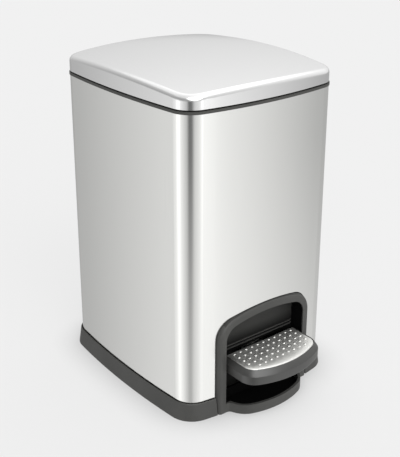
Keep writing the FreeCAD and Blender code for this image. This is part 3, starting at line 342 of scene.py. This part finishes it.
def recessPlasticPaintedShade():
    # the surround is satin outside; inside the recess shade is painted in: darker on the recess's back, and
    # matt black between the ribs there, on the side walls, under the pedal and behind the lip
    mat = finishes["dark_plastic"].copy()
    mat.name = "recessPlasticPaintedShade"
    shader = shaderOf(mat)
    place = addNode(mat, "ShaderNodeTexCoord")
    spot, facing = addNode(mat, "ShaderNodeSeparateXYZ"), addNode(mat, "ShaderNodeSeparateXYZ")
    join(mat, place.outputs["Object"], spot.inputs[0])
    join(mat, place.outputs["Normal"], facing.inputs[0])
    x, y, z = spot.outputs
    facingX, facingY, facingZ = facing.outputs

    # masks of where shade is painted in the recess
    deep = maths(mat, "GREATER_THAN", y, recess["front"])
    across = maths(mat, "LESS_THAN", maths(mat, "ABSOLUTE", x), recess["half"])
    within = maths(mat, "MULTIPLY", deep, across)
    low = maths(mat, "LESS_THAN", z, recess["treadLine"])
    outward = maths(mat, "MULTIPLY", maths(mat, "SIGN", x), facingX)
    inward = maths(mat, "LESS_THAN", outward, -recess["wallFacing"])
    walls = maths(mat, "MULTIPLY", within, maths(mat, "MAXIMUM", low, inward))
    bottom, top = recess["backShade"][0][0], recess["backShade"][-1][0]
    back = maths(mat, "MULTIPLY", within, shadedBy(mat, z, recess["backShade"], bottom, top))
    upOrBack = maths(mat, "GREATER_THAN", maths(mat, "MAXIMUM", facingY, facingZ), recess["panFacing"])
    pan = maths(mat, "MULTIPLY", upOrBack, maths(mat, "LESS_THAN", z, recess["lipTop"]))

    # painted shade: black where this is 1, with the gloss taken down there too
    dark = maths(mat, "MAXIMUM", back, maths(mat, "MAXIMUM", walls, pan))
    satin = shader.inputs["Base Color"].links[0].from_socket
    join(mat, mixed(mat, dark, satin, recess["black"]), shader.inputs["Base Color"])
    join(mat, between(mat, dark, *recess["gloss"], 0, 1), shader.inputs["Specular IOR Level"])
    return mat


def dress(node, mat):
    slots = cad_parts[node].data.materials
    slots.clear()
    slots.append(mat)


nodeFinish = {
    "brushed_steel": ["outer_shell"],
    "tread_steel": ["pedal_pad"],
    "dark_plastic": ["base_tray", "top_rim", "pedal_plate", "hinge_block"],
    "black_plastic": ["lid_liner", "inner_bucket", "handle_grip"],
    "plated_steel": ["pedal_lever", "push_rod", "hinge_pin", "crank_pin", "pedal_axle", "axle_clips",
                     "bucket_handle", "lid_arm", "guide_screws", "surround_screws", "hinge_screws",
                     "lid_screws", "pedal_screws"],
    "nylon": ["rod_head", "rod_shoe", "rod_guide", "lever_bushes"],
    "rubber": ["lid_buffers"],
}
for slotName, nodeNames in nodeFinish.items():
    for nodeName in nodeNames:
        dress(nodeName, finishes[slotName])
dress("lid_skin", lidSteel)
dress("pedal_surround", recessPlasticPaintedShade())
print("finishes on")


# shaping, in mm about the middle of the bin

def spun(bm, vert, centre, turn, steps):
    made = bmesh.ops.spin(bm, geom=[vert], cent=centre, axis=(0, 0, 1), angle=turn, steps=steps)
    return [part for part in made["geom_last"] if isinstance(part, bmesh.types.BMVert)][0]


def drawnTo(bm, vert, place):
    last = bmesh.ops.extrude_vert_indiv(bm, verts=[vert])["verts"][0]
    last.co = place
    return last


def mirrored(bm, known, axis):
    # closes a half outline, and gives back the edges of the whole one
    fresh = [edge for edge in bm.edges if edge not in known]
    ends = list(dict.fromkeys(vert for edge in fresh for vert in edge.verts))
    bmesh.ops.mirror(bm, geom=ends + fresh, axis=axis, merge_dist=2 * mergeGap)
    return [edge for edge in bm.edges if edge not in known]


def skinned(bm, loops):
    # walls from loop to loop, closed across the first and the last
    for below, above in zip(loops, loops[1:]):
        bmesh.ops.bridge_loops(bm, edges=below + above)
    for rim in (loops[0], loops[-1]):
        bmesh.ops.edgeloop_fill(bm, edges=rim)


def turned(bm, outline, centre, steps):
    # a closed outline, given along x and by radius, spun round the line along x through the centre
    x, y, z = centre
    ring = []
    for along, radius in outline:
        place = (x + along, y, z + radius)
        ring.append(drawnTo(bm, ring[-1], place) if ring else bm.verts.new(place))  # the first starts it
    sides = [edge for edge in bm.edges if edge.verts[0] in ring and edge.verts[1] in ring]
    sides.append(bm.edges.new((ring[-1], ring[0])))
    bmesh.ops.spin(bm, geom=ring + sides, cent=centre, axis=(1, 0, 0), angle=math.tau, steps=steps,
                   use_merge=True)


def settle(bm, name, body, slotName, nodes, sharp=38):
    bmesh.ops.remove_doubles(bm, verts=bm.verts, dist=mergeGap)
    bmesh.ops.recalc_face_normals(bm, faces=bm.faces)
    bmesh.ops.scale(bm, vec=(mm, mm, mm), verts=bm.verts)
    bmesh.ops.translate(bm, vec=(0, midY * mm, 0), verts=bm.verts)
    for face in bm.faces:
        face.smooth = True
    piece = placed(bm, name)
    piece.data.set_sharp_from_angle(angle=math.radians(sharp))
    piece.data.materials.append(finishes[slotName])
    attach(piece, body)
    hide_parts(*nodes)
    return piece


# pedal

pedal = {
    "half": 55.5,
    "front": 175.0,
    "back": 114.25,
    "corner": 20.0,
    "leastCorner": 3,
    "bow": 106.0,
    "bowSteps": 16,
    "cornerSteps": 12,
    # inset and height, from the hollow underside over the skirt and the bevel to the pad's seat
    "skirt": [(2.6, 58.6), (2.6, 50.9), (2.2, 50.25), (1.3, 50.0), (0.5, 50.2), (0.1, 50.8), (0, 51.6),
              (0, 60.0), (0.18, 60.4), (4.35, 66.3), (4.6, 66.52), (4.85, 66.55), (5.05, 66.3), (5.1, 65.2)],
    "sharp": 20,  # degrees past which an edge is a crease
    "plastic": {"low": (0.028, 0.028, 0.0265), "high": (0.034, 0.034, 0.032), "rough": 0.32,
                "grainSize": 1500, "relief": 0.06, "gloss": 0.7},
}

pad = {
    "back": 118.25,
    "backSlope": 0.3,  # how far the back edge goes in for each mm of inset
    "edge": [(5.4, 65.2), (5.4, 65.6), (5.55, 66.05), (6.0, 66.5), (6.9, 66.88), (8.6, 67.18), (11.6, 67.4),
             (16, 67.5)],
    "sharp": 50,
}

tread = {
    "across": 8.55,
    "along": 8.15,
    "columns": 5,  # on each side of the middle one
    "rows": 5,
    "firstRow": -122.6,
    "radius": 1.75,
    "rise": 0.85,
    "sunk": 0.04,
    "margin": 5.0,
    "segments": 12,
    "rings": 6,
}


def pedalPlan(inset):
    plan = {key: pedal[key] - inset for key in ("half", "front", "bow")}
    plan["corner"] = max(pedal["corner"] - inset, pedal["leastCorner"])
    arm = plan["bow"] - plan["corner"]  # from the bow's centre to the corner's
    plan["bowY"] = plan["bow"] - plan["front"]
    plan["cornerX"] = plan["half"] - plan["corner"]
    plan["turn"] = math.asin(plan["cornerX"] / arm)
    plan["cornerY"] = plan["bowY"] - arm * math.cos(plan["turn"])
    return plan


def pedalLoop(bm, inset, height, back):
    known = set(bm.edges)
    plan = pedalPlan(inset)
    edge = bm.verts.new((0, -plan["front"], height))
    edge = spun(bm, edge, (0, plan["bowY"], height), plan["turn"], pedal["bowSteps"])
    edge = spun(bm, edge, (plan["cornerX"], plan["cornerY"], height), math.pi / 2 - plan["turn"],
                pedal["cornerSteps"])
    edge = drawnTo(bm, edge, (plan["half"], -back, height))
    drawnTo(bm, edge, (0, -back, height))
    return mirrored(bm, known, "X")


def insidePad(x, y):
    # true where a dot keeps its margin to the pad's edge
    plan = pedalPlan(pad["edge"][0][0] + tread["margin"])
    past = abs(x) - plan["cornerX"]
    if past > 0 and y < plan["cornerY"]:
        return math.hypot(past, y - plan["cornerY"]) < plan["corner"]
    return math.hypot(x, y - plan["bowY"]) < plan["bow"]


def buildPlate():
    bm = bmesh.new()
    skinned(bm, [pedalLoop(bm, inset, height, pedal["back"] + inset) for inset, height in pedal["skirt"]])
    plate = settle(bm, "pedalPlate", "pedal", "dark_plastic", ["pedal_plate"], pedal["sharp"])
    plate.data.materials[0] = mouldedPlastic("pedalPlastic", **pedal["plastic"])


def buildPad():
    bm = bmesh.new()
    start, top = pad["edge"][0][0], pad["edge"][-1][1]
    skinned(bm, [pedalLoop(bm, inset, height, pad["back"] + pad["backSlope"] * (inset - start))
                 for inset, height in pad["edge"]])
    for row in range(tread["rows"]):
        for column in range(-tread["columns"], tread["columns"] + 1):
            x, y = column * tread["across"], tread["firstRow"] - row * tread["along"]
            if not insidePad(x, y):
                continue
            dot = bmesh.ops.create_uvsphere(bm, u_segments=tread["segments"], v_segments=tread["rings"],
                                            radius=tread["radius"])["verts"]
            bmesh.ops.scale(bm, vec=(1, 1, tread["rise"] / tread["radius"]), verts=dot)
            bmesh.ops.translate(bm, vec=(x, y, top - tread["sunk"]), verts=dot)
    settle(bm, "pedalPad", "pedal", "tread_steel", ["pedal_pad"], pad["sharp"])


buildPlate()
buildPad()
print("pedal built")


# ribbed sleeve on the bucket's handle

grip = {
    "half": 36.0,
    "radius": 4.5,
    "bore": 1.78,
    "place": (0, -85.25, 338.0),
    "grooves": 11,
    "pitch": 5.6,
    "groove": [(-1.1, 0), (-0.6, 0.55), (0.6, 0.55), (1.1, 0)],  # along the sleeve, and how deep
    "roundOff": 1.2,
    "sides": 28,
}


def buildGrip():
    bm = bmesh.new()
    half, radius, cut = grip["half"], grip["radius"], grip["roundOff"]
    ending = [(half - cut, radius), (half - cut / 3, radius - cut / 3), (half, radius - cut),
              (half, grip["bore"])]
    outline = [(-along, out) for along, out in reversed(ending)]
    for step in range(grip["grooves"]):
        middle = (step - (grip["grooves"] - 1) / 2) * grip["pitch"]
        outline += [(middle + along, radius - deep) for along, deep in grip["groove"]]
    turned(bm, outline + ending, grip["place"], grip["sides"])
    settle(bm, "handleGrip", "bucket_handle", "black_plastic", ["handle_grip"])


buildGrip()
print("grip built")


# lift-out bucket

bucket = {
    "half": 91.5,
    "reach": 98.25,
    "corner": 24.0,
    "cornerSteps": 10,
    "middle": -1.0,
    # inset and height, from the underside up the outside, over the rolled rim and down to the floor inside
    "profile": [(15.0, 72.0), (12.0, 72.1), (9.2, 73.3), (7.4, 76.0), (6.82, 79.0), (0.05, 348.5),
                (-6.2, 348.5), (-6.8, 348.7), (-7.0, 349.2), (-6.95, 349.8), (-6.5, 350.3), (-5.6, 350.5),
                (0.4, 350.5), (1.2, 350.3), (1.7, 349.8), (1.85, 349.0), (8.5, 84.0), (9.1, 79.5),
                (10.8, 76.0), (13.6, 74.2), (17.5, 73.8)],
    "wallFacing": 0.9,  # how squarely a long wall faces along x
    "bossHeight": 338.0,
    "holeRadius": 1.85,
    "holeSides": 8,
    # along x, and radius
    "boss": [(89.6, 1.9), (88.5, 1.9), (88.3, 2.3), (88.3, 4.3), (88.7, 4.9), (89.6, 5.1)],
    "bossSides": 24,
}


def bucketLoop(bm, inset, height):
    known = set(bm.edges)
    half, reach, corner = bucket["half"] - inset, bucket["reach"] - inset, bucket["corner"] - inset
    edge = drawnTo(bm, bm.verts.new((0, -reach, height)), (half - corner, -reach, height))
    edge = spun(bm, edge, (half - corner, corner - reach, height), math.pi / 2, bucket["cornerSteps"])
    drawnTo(bm, edge, (half, 0, height))
    mirrored(bm, known, "X")
    return mirrored(bm, known, "Y")


def sideWall(bm, side):
    # both skins of one long wall
    bm.normal_update()
    inside = bucket["half"] - bucket["corner"]
    return [face for face in bm.faces
            if abs(face.normal.x) > bucket["wallFacing"] and side * face.calc_center_median().x > inside]


def holed(bm, side):
    # cuts the handle's hole through both skins of one wall
    height, radius = bucket["bossHeight"], bucket["holeRadius"]
    for step in range(bucket["holeSides"]):
        angle = math.tau * step / bucket["holeSides"]
        away = Vector((0, math.cos(angle), math.sin(angle)))
        faces = sideWall(bm, side)
        edges = list(dict.fromkeys(edge for face in faces for edge in face.edges))
        verts = list(dict.fromkeys(vert for face in faces for vert in face.verts))
        bmesh.ops.bisect_plane(bm, geom=faces + edges + verts, plane_no=away,
                               plane_co=away * radius + Vector((0, 0, height)))
    inside = [face for face in sideWall(bm, side)
              if math.hypot(face.calc_center_median().y, face.calc_center_median().z - height) < radius]
    bmesh.ops.delete(bm, geom=inside, context="FACES")
    bmesh.ops.bridge_loops(bm, edges=[edge for edge in bm.edges if edge.is_boundary])


def buildBucket():
    bm = bmesh.new()
    skinned(bm, [bucketLoop(bm, inset, height) for inset, height in bucket["profile"]])
    bmesh.ops.remove_doubles(bm, verts=bm.verts, dist=mergeGap)
    for side in (-1, 1):
        holed(bm, side)
    for side in (-1, 1):
        boss = [(side * along, radius) for along, radius in bucket["boss"]]
        turned(bm, boss, (0, 0, bucket["bossHeight"]), bucket["bossSides"])
    bmesh.ops.translate(bm, vec=(0, bucket["middle"], 0), verts=bm.verts)
    settle(bm, "innerBucket", "bin", "black_plastic", ["inner_bucket"])


buildBucket()
print("bucket built")
